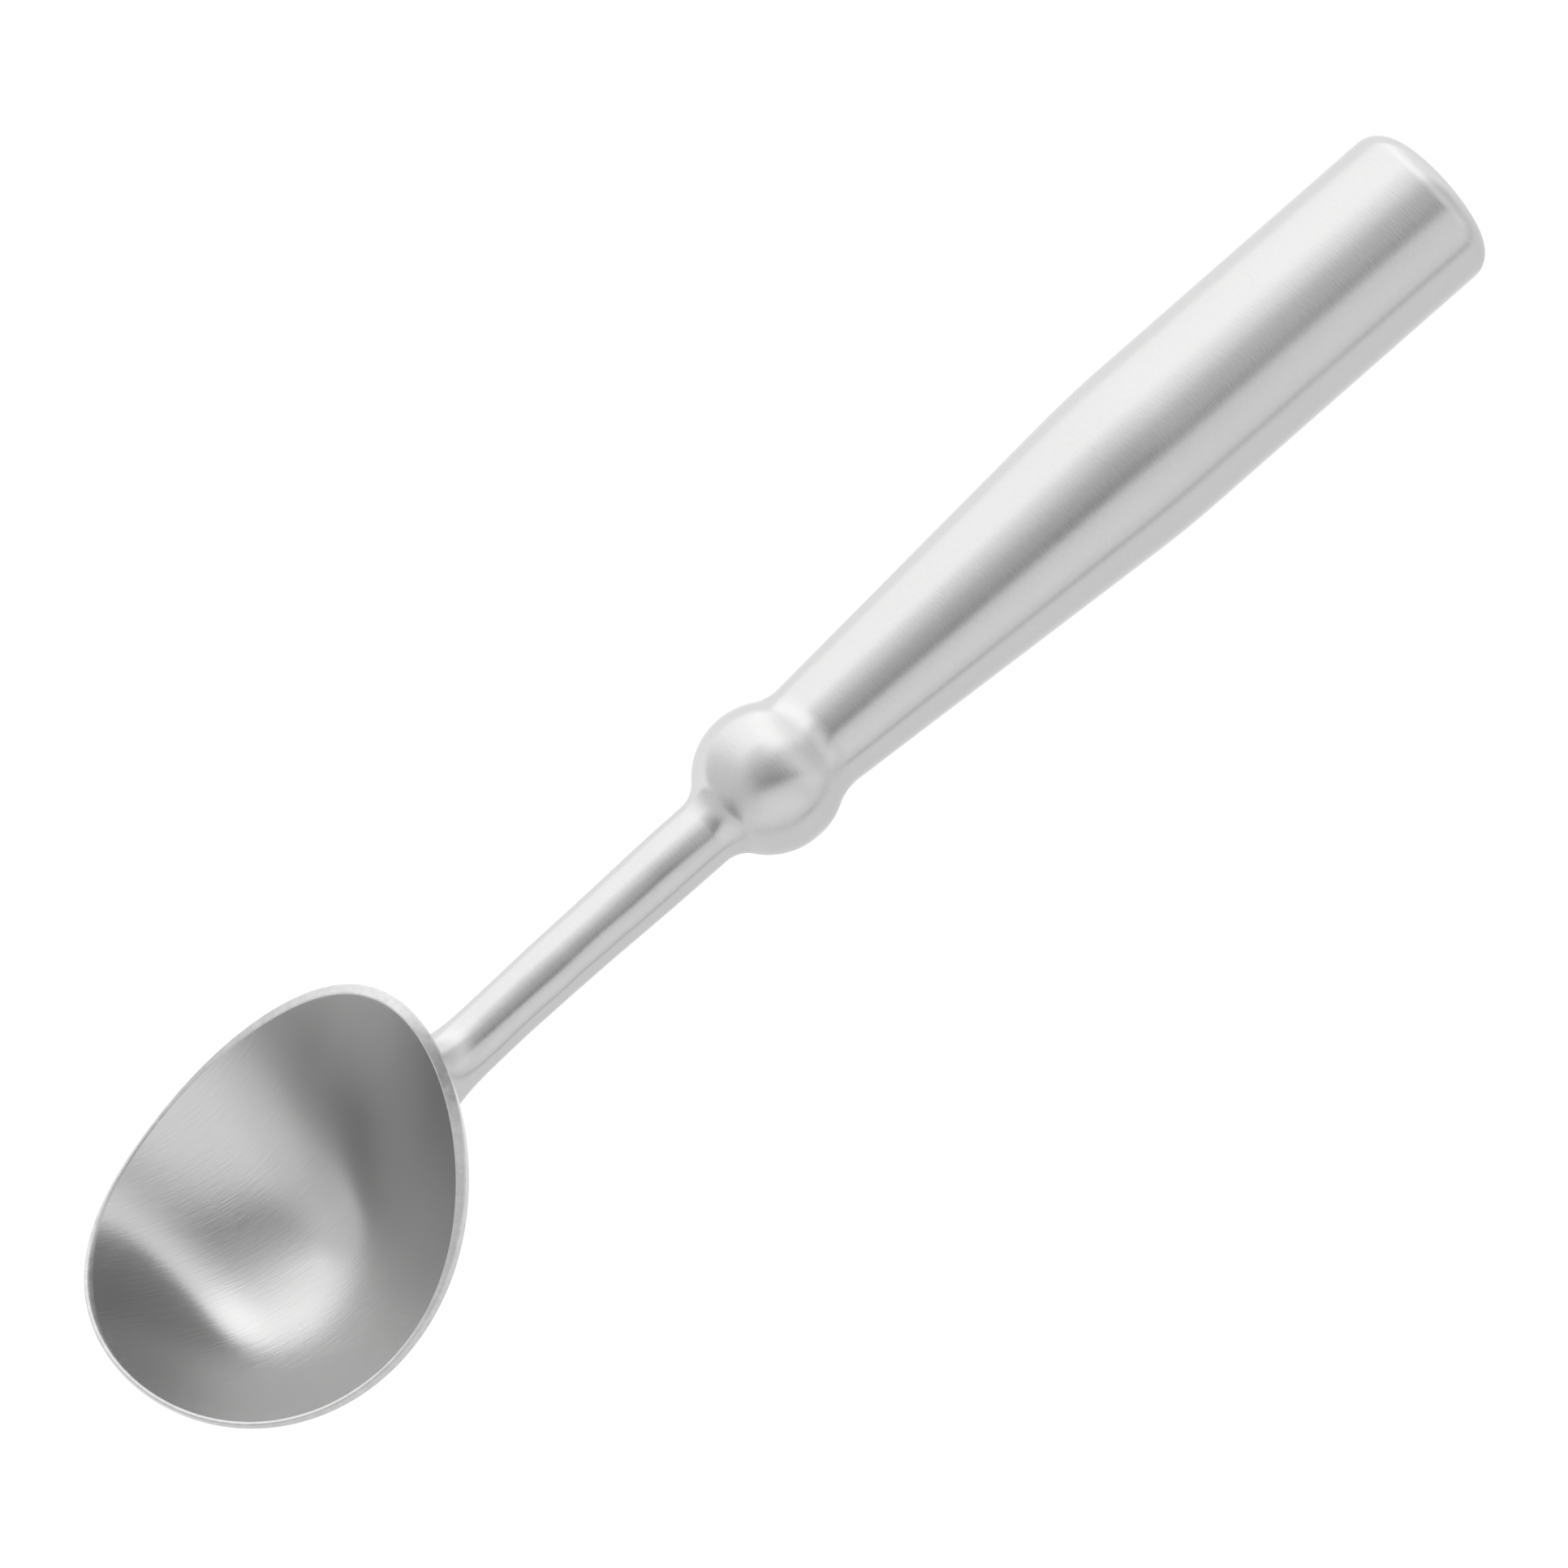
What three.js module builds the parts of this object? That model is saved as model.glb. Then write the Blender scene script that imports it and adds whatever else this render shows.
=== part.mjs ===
// Ice cream scoop: a forged stainless bowl on a round stem, let into a hollow
// stainless handle with a ball at its nose and a pressed cap at its rear.
// Millimetres, +Z up. The scoop lies as it rests on a table: the bowl's belly
// and the rear of the handle both touch z = 0. The origin is the middle of the
// bottom of the bounding box, and +X runs from the bowl to the handle's end.
//
// Pieces are first drawn in the handle's own axis frame: X along the handle's
// axis with x = 0.2 at the middle of the ball, Z towards the bowl's opening.

import * as THREE from 'three';
import { mergeVertices } from 'three/addons/utils/BufferGeometryUtils.js';

// ---------------------------------------------------------------- dimensions
const GAP = 0.3;                 // clearance between neighbouring pieces

// handle, a solid of revolution about X
const BALL_X = 0.2;              // middle of the ball
const BALL_R = 9.51;
const WAIST_R = 7.46;            // narrowest place behind the ball
const WAIST_FILLET = 7.0;        // hollow fillet between the ball and the taper
const TAPER_X0 = 10.22, TAPER_R0 = 7.556;    // straight taper of the grip
const TAPER_SLOPE = 0.06995;
const GRIP_R = 11.1;             // straight rear part of the grip
const BLEND_X0 = 55.2, BLEND_X1 = 65.4;      // soft blend of taper and grip
const REAR_X = 112.97;           // flat rear face
const REAR_FILLET = 3.3;         // rounded edge of the rear face
const TUBE_WALL = 1.2;           // wall of the hollow handle
const SEAM_X = 107.6;            // seam between the tube and its rear cap
const SEAM_W = 0.6;              // width of the ground weld seam
const NOSE_X = -7.2;             // front face of the ball, where the stem enters
const SPIGOT_R = 3.6;            // reduced end of the stem inside the ball
const SPIGOT_X = 4.0;            // inner end of that spigot
const SKIRT_LEN = 4.0;           // locating skirt of the cap inside the tube

// stem
const STEM_R_BALL = 4.38;        // next to the ball
const NOSE_FILLET = 4.4;         // ground fillet between the stem and the ball

// bowl, in polar angles about its middle with 0 towards the heel: cosine series
// of the rim's radius and height, and of the power with which the inside rises
const BOWL_X = -79.303;          // middle along X
const BOWL_Z = -18.4055;         // depth of the inside at the middle
const RIM_R = [23.8796, -2.9715, 1.4289, -0.1799, 0.0116, 0.0587, -0.0238];
const RIM_Z = [0.0027, 12.0965, 4.6357, 0.4535, 0.2352, 0.0154, 0.0155];
const POWER = [2.2634, -0.0854, 0.526, -0.1482];
const ROUND = 0.4272;            // rounding of the bottom, share of the radius
const LEAN = 0.2132;             // fall of the bottom towards the tip
const WALL_TIP = 1.0, WALL_SIDE = 1.5, WALL_HEEL = 2.4;
const LAND_TIP = 0.45, LAND_HEEL = 1.5;      // level top of the rim
const RIM_DRAFT = 0.1;           // outward slant of the band below that top
const TIP_X = -110.0, BOWL_LEN = 57.0;

// root fillet between the stem and the heel of the bowl
const ROOT_SIDE = 5.0, ROOT_TOP = 10.5, ROOT_BOTTOM = 4.5;   // reach on the heel
const ROOT_LEN = 13.0;           // reach along the stem

// facets
const N_TURN = 36, N_BOWL = 56, N_STEM = 28;

// ------------------------------------------------------------------- helpers
const smooth = (u) => { const c = Math.min(1, Math.max(0, u)); return c * c * (3 - 2 * c); };
const V = (x, y, z) => new THREE.Vector3(x, y, z);

// Merge shared corners, drop flat triangles and turn the faces outwards.
function closed(geometry) {
  let g = geometry;
  for (const name of Object.keys(g.attributes)) if (name !== 'position') g.deleteAttribute(name);
  g = mergeVertices(g, 1e-4);
  const p = g.attributes.position, idx = g.index.array, keep = [];
  const a = V(0, 0, 0), b = V(0, 0, 0), c = V(0, 0, 0);
  let vol = 0;
  for (let i = 0; i < idx.length; i += 3) {
    const [i0, i1, i2] = [idx[i], idx[i + 1], idx[i + 2]];
    if (i0 === i1 || i1 === i2 || i0 === i2) continue;
    keep.push(i0, i1, i2);
    a.fromBufferAttribute(p, i0); b.fromBufferAttribute(p, i1); c.fromBufferAttribute(p, i2);
    vol += a.dot(b.clone().cross(c));
  }
  if (vol < 0) for (let i = 0; i < keep.length; i += 3) [keep[i + 1], keep[i + 2]] = [keep[i + 2], keep[i + 1]];
  g.setIndex(keep);
  g.computeVertexNormals();
  return g;
}

// Skin a list of rings of points. Each ring has the same count, or one point
// for a pole. loop joins the last ring to the first.
function skin(rings, loop = false) {
  const pos = [], idx = [], start = [];
  for (const r of rings) { start.push(pos.length / 3); for (const q of r) pos.push(q.x, q.y, q.z); }
  const last = loop ? rings.length : rings.length - 1;
  for (let k = 0; k < last; k++) {
    const k2 = (k + 1) % rings.length;
    const A = rings[k], B = rings[k2], sa = start[k], sb = start[k2];
    const n = Math.max(A.length, B.length);
    for (let i = 0; i < n; i++) {
      const j = (i + 1) % n;
      if (A.length === 1) idx.push(sa, sb + i, sb + j);
      else if (B.length === 1) idx.push(sa + i, sb, sa + j);
      else idx.push(sa + i, sb + i, sb + j, sa + i, sb + j, sa + j);
    }
  }
  const g = new THREE.BufferGeometry();
  g.setAttribute('position', new THREE.Float32BufferAttribute(pos, 3));
  g.setIndex(idx);
  return closed(g);
}

// Revolve a closed (x, r) outline about the X axis.
function turned(outline) {
  const pts = outline.map(([x, r]) => new THREE.Vector2(r, x));
  pts.push(pts[0].clone());
  const g = new THREE.LatheGeometry(pts, N_TURN, Math.PI / N_TURN);
  g.rotateZ(-Math.PI / 2);
  return closed(g);
}

// Points of a circular arc in (x, r), from angle a0 to a1 in radians.
function arc(cx, cr, rad, a0, a1, n) {
  const out = [];
  for (let i = 0; i <= n; i++) {
    const a = a0 + (a1 - a0) * i / n;
    out.push([cx + rad * Math.cos(a), cr + rad * Math.sin(a)]);
  }
  return out;
}

// -------------------------------------------------------------------- handle
// Outer outline of ball, waist, taper and grip, from the nose to the seam.
const waistX = BALL_X + Math.sqrt((BALL_R + WAIST_FILLET) ** 2 - (WAIST_R + WAIST_FILLET) ** 2);
const waistJoin = Math.atan2(WAIST_R + WAIST_FILLET, waistX - BALL_X);
const taperR = (x) => TAPER_R0 + TAPER_SLOPE * (x - TAPER_X0);

function gripOutline(offset, xFrom, xTo) {
  const out = [];
  const ballR = BALL_R - offset;
  const a0 = Math.acos((xFrom - BALL_X) / ballR);
  out.push(...arc(BALL_X, 0, ballR, a0, waistJoin, 11));
  out.push(...arc(waistX, WAIST_R + WAIST_FILLET, WAIST_FILLET + offset, waistJoin + Math.PI, 1.5 * Math.PI + Math.atan(TAPER_SLOPE), 5).slice(1));
  const slide = (x, r) => [x, r - offset];
  out.push(slide(22.5, taperR(22.5)), slide(39, taperR(39)));
  const r0 = taperR(BLEND_X0);
  for (let i = 0; i <= 4; i++) {
    const u = i / 4;   // quadratic blend from the taper to the straight grip
    const xm = BLEND_X0 + (GRIP_R - r0) / TAPER_SLOPE;
    const x = (1 - u) ** 2 * BLEND_X0 + 2 * u * (1 - u) * xm + u * u * BLEND_X1;
    const r = (1 - u) ** 2 * r0 + 2 * u * (1 - u) * GRIP_R + u * u * GRIP_R;
    out.push(slide(x, r));
  }
  out.push(slide(xTo, GRIP_R));
  return out;
}

function handleShell() {
  const outer = gripOutline(0, NOSE_X, SEAM_X - SEAM_W / 2 - GAP);
  const inner = gripOutline(TUBE_WALL, NOSE_X + 1.6, SEAM_X - SEAM_W / 2 - GAP);
  const bore = SPIGOT_R + GAP;
  return turned([[NOSE_X, bore], ...outer, ...inner.reverse(), [NOSE_X + 1.6, bore]]);
}

function endCap() {
  const x0 = SEAM_X + SEAM_W / 2 + GAP;
  const skirt = GRIP_R - TUBE_WALL - GAP;
  const inside = skirt - TUBE_WALL;
  return turnedFromAxis([
    [REAR_X, 0], [REAR_X, GRIP_R - REAR_FILLET],
    ...arc(REAR_X - REAR_FILLET, GRIP_R - REAR_FILLET, REAR_FILLET, 0, Math.PI / 2, 6).slice(1),
    [x0, GRIP_R], [x0, skirt], [x0 - SKIRT_LEN - GAP, skirt], [x0 - SKIRT_LEN - GAP, inside],
    [REAR_X - REAR_FILLET, inside], [REAR_X - TUBE_WALL, inside - 1.4], [REAR_X - TUBE_WALL, 0],
  ]);
}

// Revolve an outline that starts and ends on the axis.
function turnedFromAxis(outline) {
  const g = new THREE.LatheGeometry(outline.map(([x, r]) => new THREE.Vector2(r, x)), N_TURN, Math.PI / N_TURN);
  g.rotateZ(-Math.PI / 2);
  return closed(g);
}

function capWeld() {
  const a = SEAM_X - SEAM_W / 2, b = SEAM_X + SEAM_W / 2;
  const inner = GRIP_R - TUBE_WALL;
  return turned([[a, inner], [a, GRIP_R], [b, GRIP_R], [b, inner]]);
}

const noseX = BALL_X - Math.sqrt((BALL_R + NOSE_FILLET) ** 2 - (STEM_R_BALL + NOSE_FILLET) ** 2);
function noseWeld() {
  const bore = SPIGOT_R + GAP;
  const join = Math.atan2(STEM_R_BALL + NOSE_FILLET, noseX - BALL_X);
  const fillet = arc(noseX, STEM_R_BALL + NOSE_FILLET, NOSE_FILLET, 1.5 * Math.PI, join + Math.PI, 6);
  const x1 = fillet[fillet.length - 1][0];
  // the last stretch follows the ball up to the front face of the shell
  const xf = NOSE_X - GAP;
  const ball = x1 < xf ? [[xf, Math.sqrt(BALL_R ** 2 - (xf - BALL_X) ** 2)]] : [];
  const out = [...fillet.filter(([x]) => x < xf - 0.05), ...ball];
  const xe = out[out.length - 1][0];
  return turned([[noseX, bore], ...out, [xe, bore]]);
}

// ---------------------------------------------------------------------- bowl
const series = (c, t) => c.reduce((sum, v, k) => sum + v * Math.cos(k * t), 0);

// Inside of the bowl: a is the share of the way from the middle to the rim.
function bowlPoint(a, t) {
  const r = a * series(RIM_R, t), x = r * Math.cos(t), p = series(POWER, t), e = ROUND;
  const rise = ((a * a + e * e) ** (p / 2) - e ** p) / ((1 + e * e) ** (p / 2) - e ** p);
  const lean = LEAN * x * Math.max(0, 1 - a * a) ** 2;
  return V(BOWL_X + x, r * Math.sin(t), BOWL_Z + (series(RIM_Z, t) - BOWL_Z) * rise + lean);
}
function bowlNormal(a, t) {
  const d = 1e-4, a1 = Math.max(a, 2e-3);
  const du = bowlPoint(a1 + d, t).sub(bowlPoint(a1 - d, t));
  const dv = bowlPoint(a1, t + d).sub(bowlPoint(a1, t - d));
  const n = du.cross(dv).normalize();
  const out = bowlPoint(a1, t).sub(V(BOWL_X, 0, 15));
  return n.dot(out) < 0 ? n.negate() : n;
}
function wall(x) {
  const u = (x - TIP_X) / BOWL_LEN;
  return u < 0.5 ? WALL_TIP + (WALL_SIDE - WALL_TIP) * smooth(u / 0.5)
    : WALL_SIDE + (WALL_HEEL - WALL_SIDE) * smooth((u - 0.5) / 0.5);
}
const land = (x) => LAND_TIP + (LAND_HEEL - LAND_TIP) * smooth(((x - TIP_X) / BOWL_LEN - 0.4) / 0.6);
function bowlOuter(a, t, extra = 0) {
  const p = bowlPoint(a, t);
  return p.addScaledVector(bowlNormal(a, t), wall(p.x) + extra);
}
// Level direction out of the rim, square to it in plan.
function rimOut(t) {
  const d = bowlPoint(1, t + 1e-4).sub(bowlPoint(1, t - 1e-4));
  return V(d.y, -d.x, 0).normalize();
}
// Where the outer face starts: straight below the rim's level top, plus draft.
function bandEnd(t) {
  const e = bowlPoint(1, t), o = rimOut(t);
  const reach = wall(e.x) * bowlNormal(1, t).dot(o) - land(e.x) - RIM_DRAFT;
  const pace = bowlPoint(1.001, t).sub(bowlPoint(0.999, t)).dot(o) / 0.002;
  return 1 - Math.max(0.004, reach / pace);
}

function bowlGeometry() {
  const ts = Array.from({ length: N_BOWL }, (_, i) => 2 * Math.PI * i / N_BOWL);
  const rings = [[bowlPoint(0, 0)]];
  for (const a of [0.09, 0.19, 0.29, 0.39, 0.49, 0.59, 0.69, 0.79, 0.87, 0.94, 1]) rings.push(ts.map((t) => bowlPoint(a, t)));
  rings.push(ts.map((t) => {               // outer edge of the rim's level top
    const e = bowlPoint(1, t);
    return e.clone().addScaledVector(rimOut(t), land(e.x));
  }));
  for (const a of [1, 0.955, 0.88, 0.79, 0.69, 0.59, 0.49, 0.39, 0.29, 0.19, 0.09]) rings.push(ts.map((t) => bowlOuter(a * bandEnd(t), t)));
  rings.push([bowlOuter(0, 0)]);
  return skin(rings);
}

// Point of the bowl's outer face, moved out by extra, that lies at (y, z) behind
// the heel: two unknowns, solved by Newton steps.
function heelPoint(y, z, extra) {
  let a = 0.8, t = y / 20;
  for (let i = 0; i < 30; i++) {
    const d = 1e-3, p = bowlOuter(a, t, extra);
    const pa = bowlOuter(a + d, t, extra).sub(p).divideScalar(d);
    const pt = bowlOuter(a, t + d, extra).sub(p).divideScalar(d);
    const ey = y - p.y, ez = z - p.z;
    const det = pa.y * pt.z - pa.z * pt.y;
    a += (ey * pt.z - ez * pt.y) / det;
    t += (pa.y * ez - pa.z * ey) / det;
  }
  return bowlOuter(a, t, extra);
}

// ---------------------------------------------------------------------- stem
// Radius and centre height of the stem along X.
const STEM_R = [[-64, 4.0], [-51, 3.98], [-43, 3.95], [-37, 4.03], [-29, 4.12], [-22.5, 4.26], [-16.4, 4.36], [-10, 4.38]];
const STEM_Z = [[-64, -2.5], [-51, -1.34], [-43, -0.75], [-37, -0.45], [-29, -0.27], [-20.4, -0.13], [-14.3, 0], [-10, 0]];
function table(rows, x) {
  let i = 0;
  while (i < rows.length - 2 && x > rows[i + 1][0]) i++;
  const [x0, y0] = rows[i], [x1, y1] = rows[i + 1];
  return y0 + (y1 - y0) * Math.min(1, Math.max(0, (x - x0) / (x1 - x0)));
}
const stemR = (x) => table(STEM_R, x), stemZ = (x) => table(STEM_Z, x);
const ROOT_Z = stemZ(-57), ROOT_R = stemR(-57);

function stemRing(x, r = stemR(x)) {
  return Array.from({ length: N_STEM }, (_, i) => {
    const a = 2 * Math.PI * i / N_STEM;
    return V(x, r * Math.cos(a), stemZ(x) + r * Math.sin(a));
  });
}
function stemGeometry() {
  const end = Array.from({ length: N_STEM }, (_, i) => {
    const a = 2 * Math.PI * i / N_STEM;
    return heelPoint(ROOT_R * Math.cos(a), ROOT_Z + ROOT_R * Math.sin(a), GAP);
  });
  const half = end.map((q) => heelPoint(q.y * 0.5, ROOT_Z + (q.z - ROOT_Z) * 0.5, GAP));
  const rings = [[heelPoint(0, ROOT_Z, GAP)], half, end];
  for (const x of [-48, -43, -37, -29, -22.5, -16.4, noseX - GAP]) rings.push(stemRing(x));
  rings.push(stemRing(noseX - GAP, SPIGOT_R), stemRing(SPIGOT_X - 1, SPIGOT_R), stemRing(SPIGOT_X, SPIGOT_R - 1));
  rings.push([V(SPIGOT_X, 0, 0)]);
  return skin(rings);
}

// Ground weld around the root: each section runs along the stem, up a hollow
// fillet to the heel of the bowl, and back under it to the stem.
function bowlWeld() {
  const cols = Array.from({ length: N_STEM }, (_, i) => {
    const a = 2 * Math.PI * i / N_STEM, cy = Math.cos(a), cz = Math.sin(a);
    const grow = Math.abs(cy) ** 2 * ROOT_SIDE + (cz > 0 ? ROOT_TOP : ROOT_BOTTOM) * cz * cz;
    const r0 = ROOT_R + GAP;
    const foot = heelPoint(r0 * cy, ROOT_Z + r0 * cz, GAP);
    const top = heelPoint((ROOT_R + grow) * cy, ROOT_Z + (ROOT_R + grow) * cz, GAP);
    const far = heelPoint((ROOT_R + grow * 1.2) * cy, ROOT_Z + (ROOT_R + grow * 1.2) * cz, GAP);
    const alongWall = top.clone().sub(far).normalize();
    const xs = foot.x + ROOT_LEN;
    const out = V(xs, (r0 + 0.25) * cy, stemZ(xs) + (r0 + 0.25) * cz);
    const back = V(xs, r0 * cy, stemZ(xs) + r0 * cz);
    const c1 = out.clone().add(V(-0.62 * ROOT_LEN, 0, 0));
    const c2 = top.clone().addScaledVector(alongWall, 0.6 * grow);
    const curve = new THREE.CubicBezierCurve3(out, c1, c2, top);
    const under = heelPoint((ROOT_R + grow * 0.5) * cy, ROOT_Z + (ROOT_R + grow * 0.5) * cz, GAP);
    return [back, ...[0, 0.17, 0.34, 0.5, 0.66, 0.83, 1].map((u) => curve.getPoint(u)), under, foot];
  });
  const rings = cols[0].map((_, k) => cols.map((c) => c[k]));
  return skin(rings, true);
}

// ------------------------------------------------------------------ assembly
const steel = (roughness) => new THREE.MeshStandardMaterial({ color: 0xc9c9c6, roughness, metalness: 1 });
const axisFrame = new THREE.Group();
function add(name, geometry, roughness) {
  const mesh = new THREE.Mesh(geometry, steel(roughness));
  mesh.name = name;
  axisFrame.add(mesh);
  return mesh;
}
const bowl = add('bowl', bowlGeometry(), 0.32);
add('stem', stemGeometry(), 0.28);
add('bowl_weld', bowlWeld(), 0.3);
const shell = add('handle_shell', handleShell(), 0.3);
add('nose_weld', noseWeld(), 0.3);
const cap = add('end_cap', endCap(), 0.3);
add('cap_weld', capWeld(), 0.34);

// Lay the scoop down: turn it about Y until the bowl's belly and the rear of
// the handle are level, then put the middle of its bottom at the origin.
function lowest(mesh, turn) {
  const p = mesh.geometry.attributes.position, c = Math.cos(turn), s = Math.sin(turn);
  let z = Infinity;
  for (let i = 0; i < p.count; i++) z = Math.min(z, p.getZ(i) * c - p.getX(i) * s);
  return z;
}
let lo = -0.2, hi = 0.4;
for (let i = 0; i < 60; i++) {
  const m = (lo + hi) / 2;
  const handle = Math.min(lowest(cap, m), lowest(shell, m));
  if (handle > lowest(bowl, m)) lo = m; else hi = m;
}
axisFrame.rotation.y = (lo + hi) / 2;

const scoop = new THREE.Group();
scoop.add(axisFrame);
scoop.updateMatrixWorld(true);
const box = new THREE.Box3().setFromObject(scoop, true);
axisFrame.position.set(-(box.min.x + box.max.x) / 2, -(box.min.y + box.max.y) / 2, -box.min.z);
scoop.updateMatrixWorld(true);

export default scoop;
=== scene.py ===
"""Looks of the ice cream scoop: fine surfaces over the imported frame, brushed
stainless materials, a white table, soft studio light and the camera.

Shapes are drawn in millimetres in the handle's own axis frame (X along the
handle, Z towards the bowl's opening) and laid down into the row frame."""
import math

import bpy
import numpy as np
from mathutils import Matrix, Vector


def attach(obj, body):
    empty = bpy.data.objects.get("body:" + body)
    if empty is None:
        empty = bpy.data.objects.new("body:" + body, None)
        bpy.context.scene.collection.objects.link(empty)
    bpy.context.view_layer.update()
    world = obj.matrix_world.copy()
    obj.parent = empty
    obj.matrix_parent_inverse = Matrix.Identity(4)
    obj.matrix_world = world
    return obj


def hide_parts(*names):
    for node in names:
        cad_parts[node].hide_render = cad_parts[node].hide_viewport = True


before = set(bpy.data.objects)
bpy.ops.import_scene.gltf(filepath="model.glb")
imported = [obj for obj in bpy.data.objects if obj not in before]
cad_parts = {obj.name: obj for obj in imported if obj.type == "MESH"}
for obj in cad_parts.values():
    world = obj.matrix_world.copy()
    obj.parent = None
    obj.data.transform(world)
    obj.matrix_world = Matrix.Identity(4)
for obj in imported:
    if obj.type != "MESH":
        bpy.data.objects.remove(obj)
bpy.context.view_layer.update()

# ------------------------------------------------------------- rest placement
TURN = 0.04979430063622453                 # turn about Y that lays the scoop down
SHIFT = np.array([-2.341177305626296, 0.0, 16.50273974859665])
CT, ST = math.cos(TURN), math.sin(TURN)
LAY = np.array([[CT, 0.0, ST], [0.0, 1.0, 0.0], [-ST, 0.0, CT]])


def lay(points):
    """Axis frame in millimetres to the row frame in metres."""
    return (np.asarray(points, float) @ LAY.T + SHIFT) / 1000.0


# ----------------------------------------------------------------- dimensions
BALL_X, BALL_R = 0.2, 9.51
WAIST_R, WAIST_FILLET = 7.46, 7.0
TAPER_X0, TAPER_R0, TAPER_SLOPE = 10.22, 7.556, 0.06995
GRIP_R = 11.1
BLEND_X0, BLEND_X1 = 55.2, 65.4
REAR_X, REAR_FILLET = 112.97, 3.3
TUBE_WALL = 1.2
SEAM_X, SEAM_W = 107.6, 0.6
NOSE_X = -7.2
SPIGOT_R, SPIGOT_X = 3.6, 4.0
SKIRT_LEN = 4.0
STEM_R_BALL, NOSE_FILLET = 4.38, 4.4
HAIR = 0.001                               # hairline between fitted pieces

BOWL_X, BOWL_Z = -79.303, -18.4055        # middle of the bowl and its depth there
RIM_R = (23.8796, -2.9715, 1.4289, -0.1799, 0.0116, 0.0587, -0.0238)   # cosine series of the rim's radius
RIM_Z = (0.0027, 12.0965, 4.6357, 0.4535, 0.2352, 0.0154, 0.0155)      # and of its height
POWER = (2.2634, -0.0854, 0.526, -0.1482)  # power with which the inside rises
ROUND, LEAN = 0.4272, 0.2132               # rounding and fall of the bottom
WALL_TIP, WALL_SIDE, WALL_HEEL = 1.0, 1.5, 2.4
LAND_TIP, LAND_HEEL, RIM_DRAFT = 0.45, 1.5, 0.1
TIP_X, BOWL_LEN = -110.0, 57.0
ROOT_SIDE, ROOT_TOP, ROOT_BOTTOM = 5.0, 10.5, 4.5
ROOT_LEN = 13.0
STEM_ROWS_R = ((-64, 4.0), (-51, 3.98), (-43, 3.95), (-37, 4.03), (-29, 4.12), (-22.5, 4.26), (-16.4, 4.36), (-10, 4.38))
STEM_ROWS_Z = ((-64, -2.5), (-51, -1.34), (-43, -0.75), (-37, -0.45), (-29, -0.27), (-20.4, -0.13), (-14.3, 0.0), (-10, 0.0))

N_TURN = 224
N_BOWL = 384
N_ROOT = 144


def smooth(u):
    u = np.clip(u, 0.0, 1.0)
    return u * u * (3.0 - 2.0 * u)


def spline(rows, x):
    """Smooth curve through a table of (x, value) rows."""
    xs = np.array([r[0] for r in rows], float)
    ys = np.array([r[1] for r in rows], float)
    d = np.gradient(ys, xs)
    x = np.clip(np.asarray(x, float), xs[0], xs[-1])
    i = np.clip(np.searchsorted(xs, x) - 1, 0, len(xs) - 2)
    h = xs[i + 1] - xs[i]
    u = (x - xs[i]) / h
    return ((2 * u**3 - 3 * u**2 + 1) * ys[i] + (u**3 - 2 * u**2 + u) * h * d[i]
            + (-2 * u**3 + 3 * u**2) * ys[i + 1] + (u**3 - u**2) * h * d[i + 1])


# --------------------------------------------------------------- mesh helpers
def make_piece(name, points, faces, uvs, materials, node, marks=None, crease=32.0):
    """A closed mesh piece that stands for a node. uvs holds one pair per point,
    marks one material index per face."""
    mesh = bpy.data.meshes.new(name)
    mesh.from_pydata([tuple(p) for p in lay(points)], [], [tuple(f) for f in faces])
    mesh.validate()
    layer = mesh.uv_layers.new(name="brush")
    index = np.zeros(len(mesh.loops), np.int32)
    mesh.loops.foreach_get("vertex_index", index)
    layer.data.foreach_set("uv", np.asarray(uvs, np.float32)[index].ravel())
    for m in materials:
        mesh.materials.append(m)
    if marks is not None:
        mesh.polygons.foreach_set("material_index", np.asarray(marks, np.int32))
    mesh.shade_smooth()
    mesh.set_sharp_from_angle(angle=math.radians(crease))
    mesh.update()
    obj = bpy.data.objects.new(name, mesh)
    bpy.context.scene.collection.objects.link(obj)
    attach(obj, "root")
    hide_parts(node)
    return obj


def ring_faces(rows, n, loop=False):
    """Quads between rows of n points each; loop closes the last row to the first."""
    faces = []
    last = rows if loop else rows - 1
    for k in range(last):
        a, b = k * n, ((k + 1) % rows) * n
        for i in range(n):
            j = (i + 1) % n
            faces.append((a + i, a + j, b + j, b + i))
    return faces


def outward(points, faces):
    """Turns all faces round if the closed mesh is inside out."""
    p = np.asarray(points, float)
    quads = np.array([f for f in faces if len(f) == 4], int).reshape(-1, 4)
    tris = np.array([f for f in faces if len(f) == 3], int).reshape(-1, 3)
    tris = np.concatenate([tris, quads[:, [0, 1, 2]], quads[:, [0, 2, 3]]])
    vol = (p[tris[:, 0]] * np.cross(p[tris[:, 1]], p[tris[:, 2]])).sum()
    return [tuple(reversed(f)) for f in faces] if vol < 0 else faces


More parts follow.
